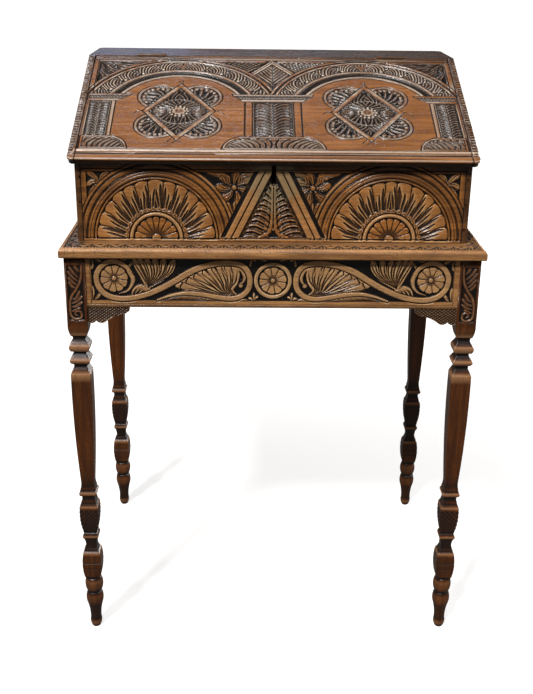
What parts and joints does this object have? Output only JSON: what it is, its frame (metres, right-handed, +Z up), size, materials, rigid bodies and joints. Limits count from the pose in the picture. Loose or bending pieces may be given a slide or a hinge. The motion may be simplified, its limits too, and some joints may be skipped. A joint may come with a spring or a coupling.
{
  "type": "bible box on stand",
  "caption": "Carved oak slope-lidded bible box with an inside lock, standing on a joined stand with square-turned tapering legs and turned peg feet.",
  "frame": {"origin": "on the floor under the middle of the stand", "axes": "+X to the right, +Y from the lid's nose to the back board, +Z up"},
  "size_m": [0.672, 0.495, 0.9827],
  "materials": {
    "oak_lid": "carved and waxed oak, worn orange-brown",
    "oak_box": "carved and waxed oak, dark in the recesses",
    "oak_stand": "carved and waxed oak",
    "oak_legs": "dark stained and waxed oak",
    "oak_plain": "unfinished oak, dusty with age",
    "wrought_iron": "forged, dark and dry",
    "iron_fixings": "hand-cut iron nails and screws"
  },
  "bodies": {
    "stand": {"leg_front_left": "oak_legs", "leg_front_right": "oak_legs", "leg_back_left": "oak_legs", "leg_back_right": "oak_legs", "apron_front": "oak_stand", "apron_back": "oak_stand", "apron_left": "oak_stand", "apron_right": "oak_stand", "apron_bead": "oak_stand", "bracket_front_left": "oak_stand", "bracket_front_right": "oak_stand", "stand_top": "oak_stand", "tenon_pegs": "oak_plain", "glue_blocks": "oak_plain", "top_screws": "iron_fixings"},
    "box": {"box_front": "oak_box", "box_back": "oak_box", "box_side_left": "oak_box", "box_side_right": "oak_box", "box_bottom": "oak_box", "flat_top": "oak_lid", "carcase_nails": "iron_fixings", "flat_top_nails": "iron_fixings", "hinge_left_fixed_leaf": "wrought_iron", "hinge_right_fixed_leaf": "wrought_iron", "hinge_left_pin": "wrought_iron", "hinge_right_pin": "wrought_iron", "hinge_screws_box": "iron_fixings", "lock_plate": "wrought_iron", "lock_case": "wrought_iron", "lock_key_pin": "wrought_iron", "lock_nails": "iron_fixings"},
    "lid": {"lid": "oak_lid", "hinge_left_lid_leaf": "wrought_iron", "hinge_right_lid_leaf": "wrought_iron", "hinge_screws_lid": "iron_fixings", "lid_staple": "wrought_iron", "staple_nails": "iron_fixings"},
    "lock_bolt": {"lock_bolt": "wrought_iron"}
  },
  "joints": [
    {"name": "box_lift", "type": "slide", "parent": "stand", "child": "box", "axis": [0, 0, 1], "range_m": [0, 0.15]},
    {"name": "lid_hinge", "type": "hinge", "parent": "box", "child": "lid", "pos_m": [0, 0.07, 0.9795], "axis": [-1, 0, 0], "range_deg": [0, 200]},
    {"name": "bolt_throw", "type": "slide", "parent": "box", "child": "lock_bolt", "axis": [1, 0, 0], "range_m": [0, 0.012]}
  ]
}
